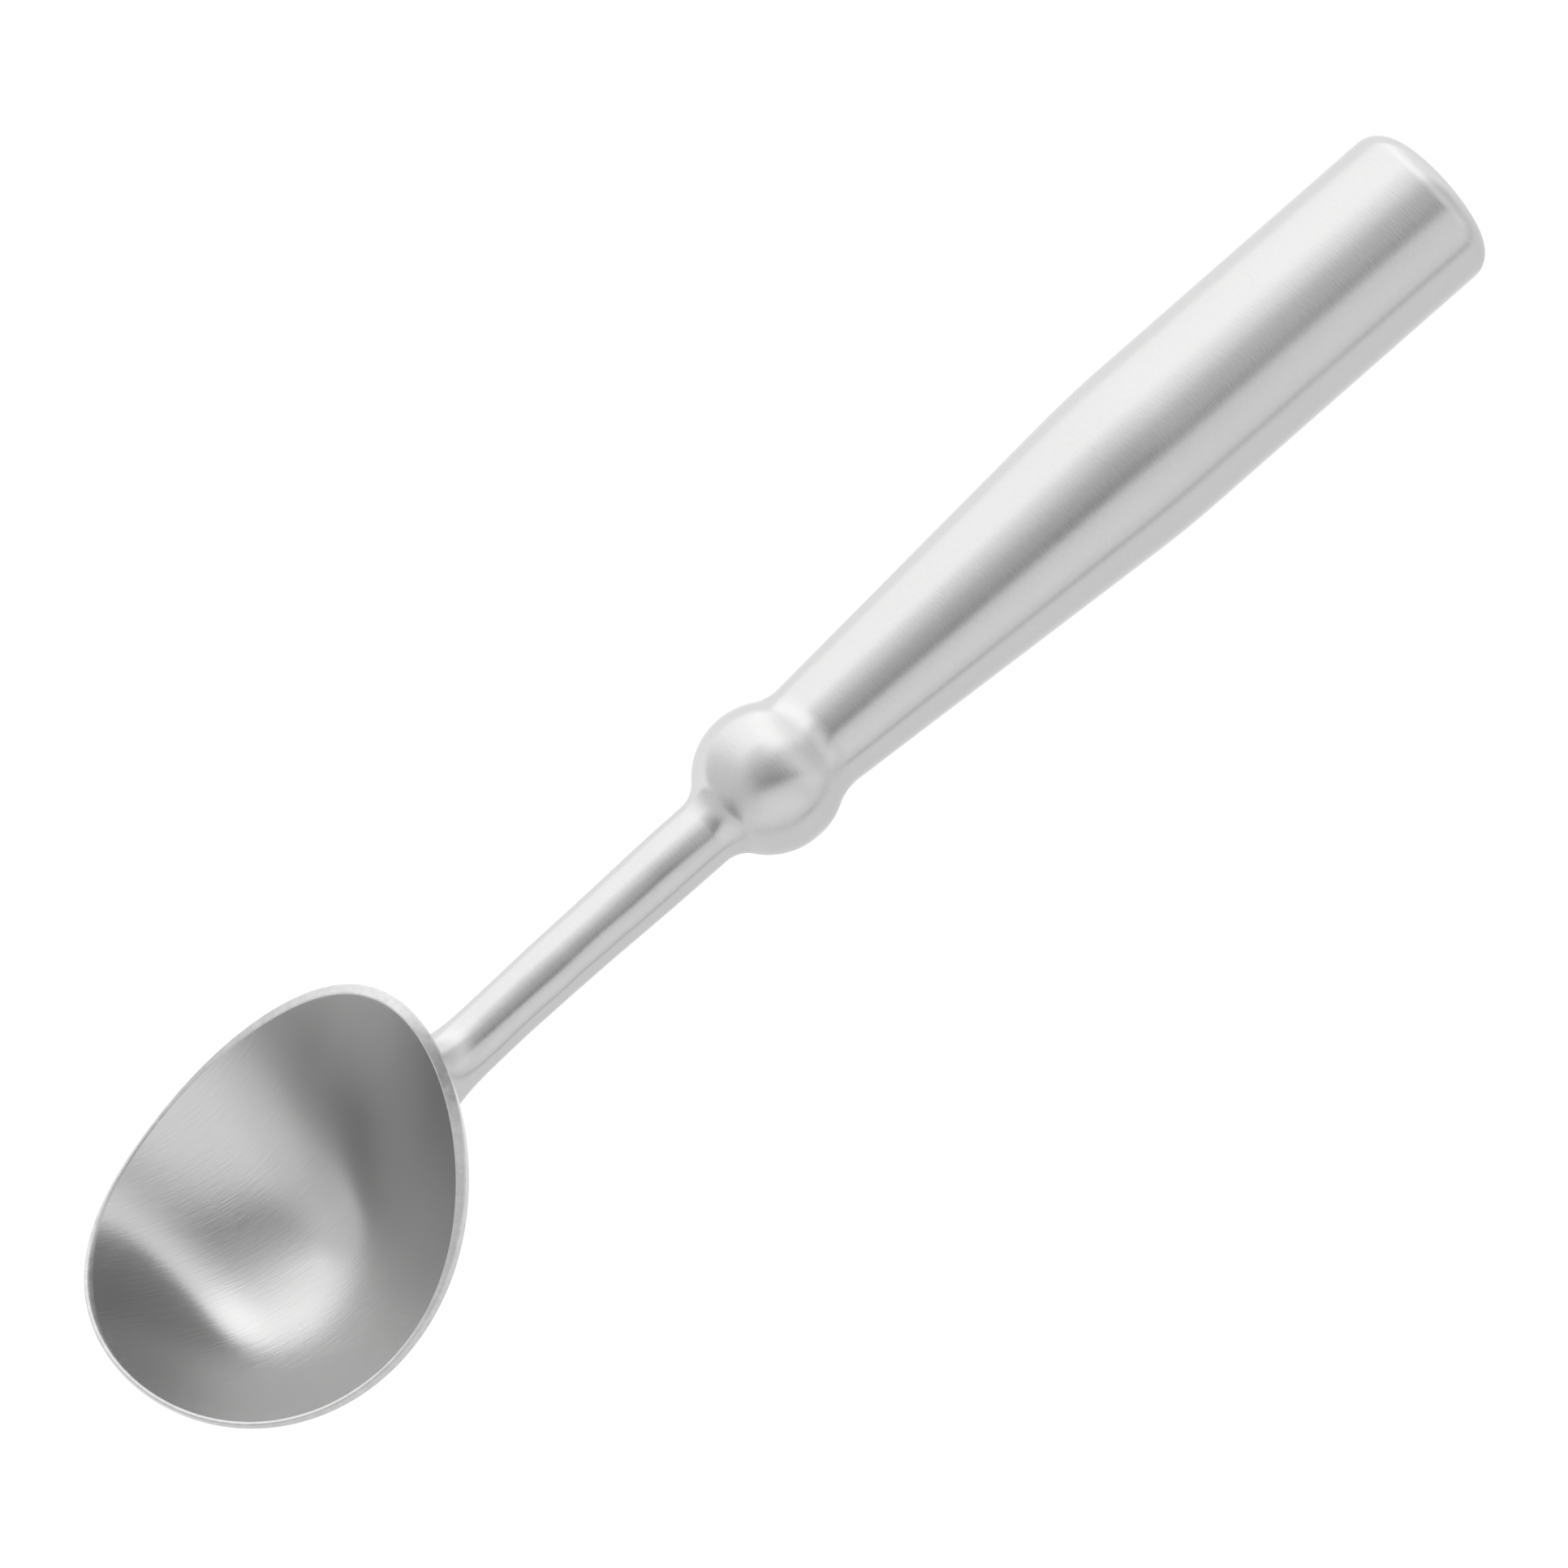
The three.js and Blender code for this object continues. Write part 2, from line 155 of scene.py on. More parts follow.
def turned(outline, closed=True):
    """Revolves an (x, r) outline about X. A closed outline comes back to its
    start; an open one starts and ends on the axis."""
    o = np.asarray(outline, float)
    ang = np.arange(N_TURN) * 2 * math.pi / N_TURN
    run = np.r_[0.0, np.cumsum(np.hypot(*np.diff(o, axis=0).T))]
    pts, uv = [], []
    body = o if closed else o[1:-1]
    body_run = run if closed else run[1:-1]
    for (x, r), s in zip(body, body_run):
        pts.append(np.stack([np.full(N_TURN, x), r * np.cos(ang), r * np.sin(ang)], -1))
        uv.append(np.stack([np.full(N_TURN, s), ang * max(r, 1.0)], -1))
    pts, uv = np.concatenate(pts), np.concatenate(uv)
    faces = ring_faces(len(body), N_TURN, loop=closed)
    if not closed:
        first, last = len(pts), len(pts) + 1
        pts = np.r_[pts, [[o[0, 0], 0, 0]], [[o[-1, 0], 0, 0]]]
        uv = np.r_[uv, [[0, 0]], [[run[-1], 0]]]
        end = (len(body) - 1) * N_TURN
        for i in range(N_TURN):
            j = (i + 1) % N_TURN
            faces.append((first, j, i))
            faces.append((last, end + i, end + j))
    return pts, outward(pts, faces), uv * 0.01


def arc(cx, cr, rad, a0, a1, n):
    a = np.linspace(a0, a1, n + 1)
    return [(cx + rad * math.cos(v), cr + rad * math.sin(v)) for v in a]


def line(p, q, n):
    return [(p[0] + (q[0] - p[0]) * k / n, p[1] + (q[1] - p[1]) * k / n) for k in range(1, n + 1)]


# ------------------------------------------------------------ handle outlines
waist_x = BALL_X + math.sqrt((BALL_R + WAIST_FILLET) ** 2 - (WAIST_R + WAIST_FILLET) ** 2)
waist_join = math.atan2(WAIST_R + WAIST_FILLET, waist_x - BALL_X)
nose_x = BALL_X - math.sqrt((BALL_R + NOSE_FILLET) ** 2 - (STEM_R_BALL + NOSE_FILLET) ** 2)


def taper_r(x):
    return TAPER_R0 + TAPER_SLOPE * (x - TAPER_X0)


def grip_outline(offset, x_from, x_to, fine):
    """Ball, waist, taper and grip as (x, r) points, moved in by offset."""
    ball = BALL_R - offset
    out = arc(BALL_X, 0.0, ball, math.acos((x_from - BALL_X) / ball), waist_join, 6 * fine)
    out += arc(waist_x, WAIST_R + WAIST_FILLET, WAIST_FILLET + offset, waist_join + math.pi,
               1.5 * math.pi + math.atan(TAPER_SLOPE), 3 * fine)[1:]
    start = out[-1]
    out += line(start, (BLEND_X0, taper_r(BLEND_X0) - offset), 5 * fine)
    r0 = taper_r(BLEND_X0)
    xm = BLEND_X0 + (GRIP_R - r0) / TAPER_SLOPE
    for k in range(1, 2 * fine + 1):
        u = k / (2 * fine)
        out.append(((1 - u) ** 2 * BLEND_X0 + 2 * u * (1 - u) * xm + u * u * BLEND_X1,
                    (1 - u) ** 2 * r0 + 2 * u * (1 - u) * GRIP_R + u * u * GRIP_R - offset))
    out += line(out[-1], (x_to, GRIP_R - offset), 5 * fine)
    return out


# ----------------------------------------------------------------- bowl shape
def series(c, t):
    return sum(v * np.cos(k * t) for k, v in enumerate(c))


def bowl_point(a, t):
    """Inside of the bowl: a is the share of the way from the middle to the rim."""
    a, t = np.asarray(a, float), np.asarray(t, float)
    r = a * series(RIM_R, t)
    x = r * np.cos(t)
    p = series(POWER, t)
    rise = ((a * a + ROUND**2) ** (p / 2) - ROUND**p) / ((1 + ROUND**2) ** (p / 2) - ROUND**p)
    lean = LEAN * x * np.maximum(0.0, 1 - a * a) ** 2
    return np.stack([BOWL_X + x, r * np.sin(t), BOWL_Z + (series(RIM_Z, t) - BOWL_Z) * rise + lean], -1)


def bowl_normal(a, t):
    a = np.maximum(a, 2e-3)
    d = 1e-4
    du = bowl_point(a + d, t) - bowl_point(a - d, t)
    dv = bowl_point(a, t + d) - bowl_point(a, t - d)
    n = np.cross(du, dv)
    n /= np.linalg.norm(n, axis=-1, keepdims=True)
    out = bowl_point(a, t) - np.array([BOWL_X, 0.0, 15.0])
    return n * np.where((n * out).sum(-1) < 0, -1.0, 1.0)[..., None]


def wall(x):
    u = (x - TIP_X) / BOWL_LEN
    return np.where(u < 0.5, WALL_TIP + (WALL_SIDE - WALL_TIP) * smooth(u / 0.5),
                    WALL_SIDE + (WALL_HEEL - WALL_SIDE) * smooth((u - 0.5) / 0.5))


def land(x):
    return LAND_TIP + (LAND_HEEL - LAND_TIP) * smooth(((x - TIP_X) / BOWL_LEN - 0.4) / 0.6)


def bowl_outer(a, t, extra=0.0):
    p = bowl_point(a, t)
    return p + bowl_normal(a, t) * (wall(p[..., 0]) + extra)[..., None]


def heel_point(y, z, extra):
    """Point of the outer face, moved out by extra, that lies at (y, z) behind the heel."""
    y, z = np.asarray(y, float), np.asarray(z, float)
    a, t = np.full_like(y, 0.8), y / 20.0
    for _ in range(40):
        d = 1e-3
        p = bowl_outer(a, t, extra)
        pa = (bowl_outer(a + d, t, extra) - p) / d
        pt = (bowl_outer(a, t + d, extra) - p) / d
        ey, ez = y - p[..., 1], z - p[..., 2]
        det = pa[..., 1] * pt[..., 2] - pa[..., 2] * pt[..., 1]
        a = a + (ey * pt[..., 2] - ez * pt[..., 1]) / det
        t = t + (pa[..., 1] * ez - pa[..., 2] * ey) / det
    return bowl_outer(a, t, extra)


BRUSH = math.radians(-13.0)                # brushing direction in plan, from +X


def plan_uv(p):
    """Plan coordinates: u across the brushing, v along it."""
    x, y = p[..., 0] - BOWL_X, p[..., 1]
    return np.stack([-math.sin(BRUSH) * x + math.cos(BRUSH) * y, math.cos(BRUSH) * x + math.sin(BRUSH) * y], -1) * 0.01


# ------------------------------------------------------------------ materials
def new_material(name):
    m = bpy.data.materials.new(name)
    m.use_nodes = True
    t = m.node_tree
    t.nodes.clear()
    out = t.nodes.new("ShaderNodeOutputMaterial")
    bsdf = t.nodes.new("ShaderNodeBsdfPrincipled")
    t.links.new(bsdf.outputs[0], out.inputs[0])
    bsdf.inputs["Metallic"].default_value = 1.0
    return m, t, bsdf


def node(t, kind, **values):
    n = t.nodes.new(kind)
    for k, v in values.items():
        setattr(n, k, v)
    return n


def scaled(t, source, scale, turn=(0.0, 0.0, 0.0)):
    m = node(t, "ShaderNodeMapping", vector_type="POINT")
    m.inputs["Rotation"].default_value = turn
    m.inputs["Scale"].default_value = scale
    t.links.new(source, m.inputs["Vector"])
    return m.outputs["Vector"]


def noise(t, vector, scale, detail, rough=0.55):
    n = node(t, "ShaderNodeTexNoise", noise_dimensions="3D")
    n.inputs["Scale"].default_value = scale
    n.inputs["Detail"].default_value = detail
    n.inputs["Roughness"].default_value = rough
    t.links.new(vector, n.inputs["Vector"])
    return n.outputs["Fac"]


def remap(t, value, lo, hi, to_lo, to_hi, kind="LINEAR"):
    n = node(t, "ShaderNodeMapRange", interpolation_type=kind)
    n.inputs["From Min"].default_value = lo
    n.inputs["From Max"].default_value = hi
    n.inputs["To Min"].default_value = to_lo
    n.inputs["To Max"].default_value = to_hi
    t.links.new(value, n.inputs["Value"])
    return n.outputs["Result"]


def math_node(t, op, a, b):
    n = node(t, "ShaderNodeMath", operation=op)
    for k, v in enumerate((a, b)):
        if isinstance(v, (int, float)):
            n.inputs[k].default_value = v
        else:
            t.links.new(v, n.inputs[k])
    return n.outputs[0]


def brushed_steel(name, light, dark, roughness, spread, anisotropy, grain="turned", bump=0.025, wave=0.0):
    """Satin stainless with fine scratch lines. grain 'turned' runs the lines round
    the handle's axis, 'plan' along the bowl in plan."""
    m, t, bsdf = new_material(name)
    if grain == "turned":
        coord = node(t, "ShaderNodeTexCoord").outputs["Object"]
        p = scaled(t, coord, (1, 1, 1), (0.0, -TURN, 0.0))
        fine = noise(t, scaled(t, p, (6500.0, 900.0, 900.0)), 1.0, 2.0, 0.6)
        coarse = noise(t, scaled(t, p, (3200.0, 800.0, 800.0)), 1.0, 2.0, 0.5)
        cloud = noise(t, scaled(t, p, (55.0, 90.0, 90.0)), 1.0, 3.0, 0.5)
    else:
        uv = node(t, "ShaderNodeUVMap", uv_map="brush").outputs["UV"]
        fine = noise(t, scaled(t, uv, (720.0, 44.0, 1.0)), 1.0, 2.0, 0.6)
        coarse = noise(t, scaled(t, uv, (380.0, 17.0, 1.0), (0.0, 0.0, 0.07)), 1.0, 2.0, 0.5)
        cloud = noise(t, scaled(t, uv, (9.0, 6.0, 1.0)), 1.0, 3.0, 0.5)
    lines = math_node(t, "ADD", math_node(t, "MULTIPLY", fine, 0.5), math_node(t, "MULTIPLY", coarse, 0.5))
    if grain == "plan":                    # the steep heel gets fewer scratch lines and painted shade
        v = node(t, "ShaderNodeSeparateXYZ")
        t.links.new(uv, v.inputs[0])
        heel_shade_and_fewer_lines = remap(t, v.outputs["Y"], -0.03, 0.11, 0.0, 1.0, "SMOOTHSTEP")
        lines = math_node(t, "ADD", math_node(t, "MULTIPLY", lines, remap(t, heel_shade_and_fewer_lines, 0.0, 1.0, 1.0, 0.1)),
                          math_node(t, "MULTIPLY", heel_shade_and_fewer_lines, 0.45))
    tone = math_node(t, "ADD", math_node(t, "MULTIPLY", lines, 0.75), math_node(t, "MULTIPLY", cloud, 0.25))
    # painted shade: the heel's tone is lowered, which darkens its colour down towards the ramp's lowest stop (0.84 of
    # dark)
    if grain == "plan":
        tone = math_node(t, "SUBTRACT", tone, math_node(t, "MULTIPLY", heel_shade_and_fewer_lines, 0.40))
    ramp = node(t, "ShaderNodeValToRGB")
    ramp.color_ramp.elements[0].position = 0.0
    ramp.color_ramp.elements[0].color = (*(0.84 * c for c in dark), 1.0)
    stop = ramp.color_ramp.elements.new(0.3)
    stop.color = (*dark, 1.0)
    ramp.color_ramp.elements[-1].position = 0.7
    ramp.color_ramp.elements[-1].color = (*light, 1.0)
    t.links.new(tone, ramp.inputs[0])
    t.links.new(ramp.outputs[0], bsdf.inputs["Base Color"])
    mixed = math_node(t, "ADD", math_node(t, "MULTIPLY", lines, 0.55), math_node(t, "MULTIPLY", cloud, 0.45))
    t.links.new(remap(t, mixed, 0.3, 0.7, roughness - spread, roughness + spread), bsdf.inputs["Roughness"])
    bsdf.inputs["Anisotropic"].default_value = anisotropy
    if grain == "turned":                  # darker towards the edges
        bsdf.inputs["Specular Tint"].default_value = (0.80, 0.80, 0.80, 1.0)
    tangent = node(t, "ShaderNodeTangent", direction_type="UV_MAP", uv_map="brush")
    t.links.new(tangent.outputs[0], bsdf.inputs["Tangent"])
    b = node(t, "ShaderNodeBump")
    b.inputs["Strength"].default_value = bump
    b.inputs["Distance"].default_value = 0.00006
    t.links.new(lines, b.inputs["Height"])
    if wave > 0.0:                         # slightly uneven hand-finished surface
        swell = node(t, "ShaderNodeBump")
        swell.inputs["Strength"].default_value = 1.0
        swell.inputs["Distance"].default_value = wave
        t.links.new(noise(t, scaled(t, coord, (110.0, 110.0, 110.0)), 1.0, 1.0, 0.4), swell.inputs["Height"])
        t.links.new(swell.outputs[0], b.inputs["Normal"])
    t.links.new(b.outputs[0], bsdf.inputs["Normal"])
    return m


def ground_steel(name, light, dark, roughness, spread):
    """Ground edge: short irregular grinding marks without one direction."""
    m, t, bsdf = new_material(name)
    coord = node(t, "ShaderNodeTexCoord").outputs["Object"]
    mottle = noise(t, scaled(t, coord, (900.0, 900.0, 900.0)), 1.0, 4.0, 0.6)
    grit = noise(t, scaled(t, coord, (4200.0, 4200.0, 4200.0)), 1.0, 3.0, 0.6)
    both = math_node(t, "ADD", math_node(t, "MULTIPLY", mottle, 0.6), math_node(t, "MULTIPLY", grit, 0.4))
    ramp = node(t, "ShaderNodeValToRGB")
    ramp.color_ramp.elements[0].position = 0.32
    ramp.color_ramp.elements[0].color = (*dark, 1.0)
    ramp.color_ramp.elements[1].position = 0.68
    ramp.color_ramp.elements[1].color = (*light, 1.0)
    t.links.new(both, ramp.inputs[0])
    t.links.new(ramp.outputs[0], bsdf.inputs["Base Color"])
    t.links.new(remap(t, both, 0.3, 0.7, roughness - spread, roughness + spread), bsdf.inputs["Roughness"])
    b = node(t, "ShaderNodeBump")
    b.inputs["Strength"].default_value = 0.25
    b.inputs["Distance"].default_value = 0.00005
    t.links.new(both, b.inputs["Height"])
    t.links.new(b.outputs[0], bsdf.inputs["Normal"])
    return m


LIGHT = (0.574, 0.574, 0.572)
DARK = (0.506, 0.506, 0.504)
SATIN_LIGHT = (0.557, 0.557, 0.555)
SATIN_DARK = (0.523, 0.523, 0.521)
handle_mat = brushed_steel("handle_brushed", SATIN_LIGHT, SATIN_DARK, 0.26, 0.035, 0.72, bump=0.32)
seam_mat = brushed_steel("seam_brushed", SATIN_LIGHT, SATIN_DARK, 0.26, 0.035, 0.72, bump=0.32)
cap_mat = brushed_steel("cap_brushed", SATIN_LIGHT, SATIN_DARK, 0.26, 0.035, 0.72, bump=0.32)
stem_mat = brushed_steel("stem_brushed", SATIN_LIGHT, SATIN_DARK, 0.26, 0.035, 0.72, bump=0.25, wave=0.0004)
nose_mat = brushed_steel("nose_brushed", SATIN_LIGHT, SATIN_DARK, 0.26, 0.035, 0.72, bump=0.32)
root_mat = brushed_steel("root_blended", SATIN_LIGHT, SATIN_DARK, 0.26, 0.035, 0.72, bump=0.25, wave=0.0004)
# grain 'plan' darkens the bowl's heel with painted shade
bowl_mat = brushed_steel("bowl_brushed", LIGHT, DARK, 0.24, 0.035, 0.72, grain="plan", bump=0.50)
rim_mat = ground_steel("rim_ground", (0.60, 0.60, 0.598), (0.46, 0.46, 0.458), 0.34, 0.05)

# --------------------------------------------------------------------- handle
outer = grip_outline(0.0, NOSE_X, SEAM_X - SEAM_W / 2 - HAIR / 2, 14)
inner = grip_outline(TUBE_WALL, NOSE_X + 1.6, SEAM_X - SEAM_W / 2 - HAIR / 2, 3)
bore = SPIGOT_R + 0.25
p, f, uv = turned([(NOSE_X, bore)] + outer + inner[::-1] + [(NOSE_X + 1.6, bore)])
make_piece("handle", p, f, uv, [handle_mat], "handle_shell")

seam_a, seam_b = SEAM_X - SEAM_W / 2 + HAIR / 2, SEAM_X + SEAM_W / 2 - HAIR / 2
p, f, uv = turned([(seam_a, GRIP_R - TUBE_WALL)] + [(seam_a + (seam_b - seam_a) * k / 4, GRIP_R) for k in range(5)]
                  + [(seam_b, GRIP_R - TUBE_WALL)])
make_piece("cap_seam", p, f, uv, [seam_mat], "cap_weld")

cap_x = SEAM_X + SEAM_W / 2 + HAIR / 2
skirt = GRIP_R - TUBE_WALL - 0.3
flat_r = GRIP_R - REAR_FILLET
face = [(REAR_X, 0.0)] + [(REAR_X, flat_r * k / 12) for k in range(1, 13)]
edge = arc(REAR_X - REAR_FILLET, flat_r, REAR_FILLET, 0.0, math.pi / 2, 28)[1:]
p, f, uv = turned(face + edge + line(edge[-1], (cap_x, GRIP_R), 4)
                  + [(cap_x, skirt), (cap_x - SKIRT_LEN, skirt), (cap_x - SKIRT_LEN, skirt - TUBE_WALL),
                     (REAR_X - REAR_FILLET, skirt - TUBE_WALL), (REAR_X - TUBE_WALL, skirt - TUBE_WALL - 1.4),
                     (REAR_X - TUBE_WALL, 0.0)], closed=False)
make_piece("end_cap", p, f, uv, [cap_mat], "end_cap")

nose_join = math.atan2(STEM_R_BALL + NOSE_FILLET, nose_x - BALL_X)
fillet = arc(nose_x, STEM_R_BALL + NOSE_FILLET, NOSE_FILLET, 1.5 * math.pi, nose_join + math.pi, 30)
x_face = NOSE_X - HAIR
fillet = [q for q in fillet if q[0] < x_face - 0.02]
fillet.append((x_face, math.sqrt(BALL_R**2 - (x_face - BALL_X) ** 2)))
p, f, uv = turned([(nose_x, bore)] + fillet + [(x_face, bore)])
make_piece("nose_fillet", p, f, uv, [nose_mat], "nose_weld")

# ----------------------------------------------------------------------- bowl
T = np.arange(N_BOWL) * 2 * math.pi / N_BOWL
rim = np.ones(N_BOWL)
edge_p = bowl_point(rim, T)
speed = np.linalg.norm((bowl_point(rim + 1e-4, T) - bowl_point(rim - 1e-4, T)) / 2e-4, axis=-1)
edge_wall, edge_land = wall(edge_p[:, 0]), land(edge_p[:, 0])
BEVEL = 0.15                               # small bevel of the rim's inner edge
EDGE_ROUND = 0.22                          # rounding of its outer edge


tangent_t = bowl_point(rim, T + 1e-4) - bowl_point(rim, T - 1e-4)
level_out = np.stack([tangent_t[:, 1], -tangent_t[:, 0], np.zeros(N_BOWL)], -1)
level_out /= np.linalg.norm(level_out, axis=-1, keepdims=True)      # level direction out of the rim
inward = bowl_point(rim - 1e-4, T) - edge_p
inward /= np.linalg.norm(inward, axis=-1, keepdims=True)            # down the inside from the rim
pace = ((bowl_point(rim + 1e-3, T) - bowl_point(rim - 1e-3, T)) * level_out).sum(-1) / 2e-3
reach = edge_wall * (bowl_normal(rim, T) * level_out).sum(-1) - edge_land - RIM_DRAFT
band_end = 1.0 - np.maximum(0.004, reach / pace)                    # where the outer face starts


def bend(a, b, c, n):
    """Rows of a rounded corner from a over b to c, without the first."""
    return [(1 - u) ** 2 * a + 2 * u * (1 - u) * b + u * u * c for u in np.linspace(0, 1, n + 1)[1:]]


rows, marks = [], []
roll = BEVEL + 0.65 * np.exp(-((T - math.radians(152.0)) / math.radians(20.0)) ** 2)   # edge worn rounder on one side
inner_top = 1.0 - roll / speed
for s in np.r_[np.linspace(0.012, 0.9, 96), np.linspace(0.905, 1.0, 22)]:
    rows.append(bowl_point(inner_top * s, T))
    marks.append(0)
bevel_end = edge_p + level_out * BEVEL
for q in bend(rows[-1], edge_p, bevel_end, 6):                      # inner edge
    rows.append(q)
    marks.append(1)
edge_out = edge_p + level_out * edge_land[:, None]
foot_out = bowl_outer(band_end, T)
drop = foot_out - edge_out
drop_len = np.linalg.norm(drop, axis=-1, keepdims=True)
round_r = np.minimum(EDGE_ROUND, 0.3 * drop_len)
land_end = edge_out - level_out * np.minimum(EDGE_ROUND, 0.45 * edge_land)[:, None]
for k in range(1, 5):                                               # level top
    rows.append(bevel_end + (land_end - bevel_end) * k / 4)
    marks.append(1)
band_top = edge_out + drop / drop_len * round_r
for q in bend(land_end, edge_out, band_top, 8):                     # rounded outer edge
    rows.append(q)
    marks.append(1)
below = bowl_outer(band_end - 0.02, T)
band_low = foot_out - drop / drop_len * np.minimum(0.35, 0.3 * drop_len)
for k in range(1, 5):                                               # band below the top
    rows.append(band_top + (band_low - band_top) * k / 4)
    marks.append(1)
for q in bend(band_low, foot_out, below, 6):                        # soft turn to the outer face
    rows.append(q)
    marks.append(2)
start = (band_end - 0.02)
for s in np.r_[np.linspace(0.99, 0.9, 12), np.linspace(0.885, 0.012, 84)]:
    rows.append(bowl_outer(start * s, T))
    marks.append(2)
pts = np.concatenate(rows)
faces = ring_faces(len(rows), N_BOWL)
face_marks = np.repeat(np.array(marks[1:]), N_BOWL).tolist()
first, last = len(pts), len(pts) + 1
pts = np.r_[pts, bowl_point(np.zeros(1), np.zeros(1)), bowl_outer(np.full(1, 1e-9), np.zeros(1))]
end = (len(rows) - 1) * N_BOWL
for i in range(N_BOWL):
    j = (i + 1) % N_BOWL
    faces.append((first, j, i))
    face_marks.append(0)
    faces.append((last, end + i, end + j))
    face_marks.append(2)
turned_faces = outward(pts, faces)
# grain 'plan' also darkens the heel of the outside with painted shade
outside_mat = brushed_steel("bowl_outside", LIGHT, DARK, 0.31, 0.04, 0.6, grain="plan", bump=0.03)
make_piece("bowl", pts, turned_faces, plan_uv(pts), [bowl_mat, rim_mat, outside_mat], "bowl", marks=face_marks, crease=55.0)

# ----------------------------------------------------------------------- stem
ANG = np.arange(N_ROOT) * 2 * math.pi / N_ROOT
root_z, root_r = float(spline(STEM_ROWS_Z, -57.0)), float(spline(STEM_ROWS_R, -57.0))


def stem_ring(x, r=None):
    r = spline(STEM_ROWS_R, x) if r is None else r
    x = np.broadcast_to(np.asarray(x, float), ANG.shape)
    return np.stack([x, r * np.cos(ANG), spline(STEM_ROWS_Z, x) + r * np.sin(ANG)], -1)


foot = heel_point(root_r * np.cos(ANG), root_z + root_r * np.sin(ANG), 0.02)
rows = [foot]
for x in np.linspace(-50.0, nose_x, 120):
    rows.append(stem_ring(x))
rows += [stem_ring(nose_x, SPIGOT_R), stem_ring(SPIGOT_X - 1.0, SPIGOT_R), stem_ring(SPIGOT_X, SPIGOT_R - 1.0)]
pts = np.concatenate(rows)
faces = ring_faces(len(rows), N_ROOT)
first, last = len(pts), len(pts) + 1
pts = np.r_[pts, heel_point(np.zeros(1), np.full(1, root_z), 0.02), [[SPIGOT_X, 0, 0]]]
end = (len(rows) - 1) * N_ROOT
for i in range(N_ROOT):
    j = (i + 1) % N_ROOT
    faces.append((first, j, i))
    faces.append((last, end + i, end + j))
uv = np.stack([pts[:, 0], np.arctan2(pts[:, 2], pts[:, 1]) * 4.0], -1) * 0.01
make_piece("stem", pts, outward(pts, faces), uv, [stem_mat], "stem")

# root fillet: runs off the stem and up the heel of the bowl, tangent to both
cy, cz = np.cos(ANG), np.sin(ANG)
grow = cy**2 * ROOT_SIDE + np.where(cz > 0, ROOT_TOP, ROOT_BOTTOM) * cz**2
foot = heel_point(root_r * cy, root_z + root_r * cz, 0.0)
top = heel_point((root_r + grow) * cy, root_z + (root_r + grow) * cz, -0.01)
far = heel_point((root_r + grow * 1.15) * cy, root_z + (root_r + grow * 1.15) * cz, -0.01)
along = top - far
along /= np.linalg.norm(along, axis=-1, keepdims=True)
xs = foot[:, 0] + ROOT_LEN
rs = spline(STEM_ROWS_R, xs) + 0.004
start_p = np.stack([xs, rs * cy, spline(STEM_ROWS_Z, xs) + rs * cz], -1)
back_p = np.stack([xs, (rs - 0.35) * cy, spline(STEM_ROWS_Z, xs) + (rs - 0.35) * cz], -1)
dip = spline(STEM_ROWS_Z, xs + 0.5) - spline(STEM_ROWS_Z, xs - 0.5)
c1 = start_p - 0.62 * ROOT_LEN * np.stack([np.ones(N_ROOT), np.zeros(N_ROOT), dip], -1)
c2 = top + along * (0.6 * grow)[:, None]
rows = [back_p]
for u in np.linspace(0.0, 1.0, 49):
    rows.append((1 - u) ** 3 * start_p + 3 * u * (1 - u) ** 2 * c1 + 3 * u * u * (1 - u) * c2 + u**3 * top)
for share in (0.66, 0.33, 0.0):
    rows.append(heel_point((root_r + grow * share) * cy, root_z + (root_r + grow * share) * cz, -0.05))
pts = np.concatenate(rows)
uv = np.stack([pts[:, 0], np.arctan2(pts[:, 2], pts[:, 1]) * 4.0], -1) * 0.01
make_piece("root_fillet", pts, outward(pts, ring_faces(len(rows), N_ROOT, loop=True)), uv, [root_mat], "bowl_weld")

# ---------------------------------------------------------------------- stage
scene = bpy.context.scene
floor_mesh = bpy.data.meshes.new("table_top")
h = 14.0
floor_mesh.from_pydata([(-h, -h, -0.00004), (h, -h, -0.00004), (h, h, -0.00004), (-h, h, -0.00004)], [], [(0, 1, 2, 3)])
floor = bpy.data.objects.new("table_top", floor_mesh)
scene.collection.objects.link(floor)
fm = bpy.data.materials.new("table_white")
fm.use_nodes = True
ft = fm.node_tree
ft.nodes.clear()
f_out = ft.nodes.new("ShaderNodeOutputMaterial")
f_bsdf = ft.nodes.new("ShaderNodeBsdfPrincipled")
ft.links.new(f_bsdf.outputs[0], f_out.inputs[0])
f_bsdf.inputs["Base Color"].default_value = (0.10, 0.10, 0.10, 1.0)
f_bsdf.inputs["Roughness"].default_value = 0.9
f_bsdf.inputs["Specular IOR Level"].default_value = 0.0
f_bsdf.inputs["Emission Color"].default_value = (1.0, 1.0, 1.0, 1.0)
f_bsdf.inputs["Emission Strength"].default_value = 1.0
floor_mesh.materials.append(fm)
floor.visible_glossy = False              # the dome stands for the sheet in reflections

# studio dome: even white tent, a large key box at the far right, and the dim
# gap on the near side
world = bpy.data.worlds.new("studio")
scene.world = world
world.use_nodes = True
wt = world.node_tree
wt.nodes.clear()
w_out = wt.nodes.new("ShaderNodeOutputWorld")
w_bg = wt.nodes.new("ShaderNodeBackground")
wt.links.new(w_bg.outputs[0], w_out.inputs[0])
direction = node(wt, "ShaderNodeTexCoord").outputs["Generated"]


def facing(v):
    n = node(wt, "ShaderNodeVectorMath", operation="DOT_PRODUCT")
    wt.links.new(direction, n.inputs[0])
    n.inputs[1].default_value = v
    return n.outputs["Value"]


def toward(az, el):
    a, e = math.radians(az), math.radians(el)
    return (math.cos(e) * math.cos(a), math.cos(e) * math.sin(a), math.sin(e))


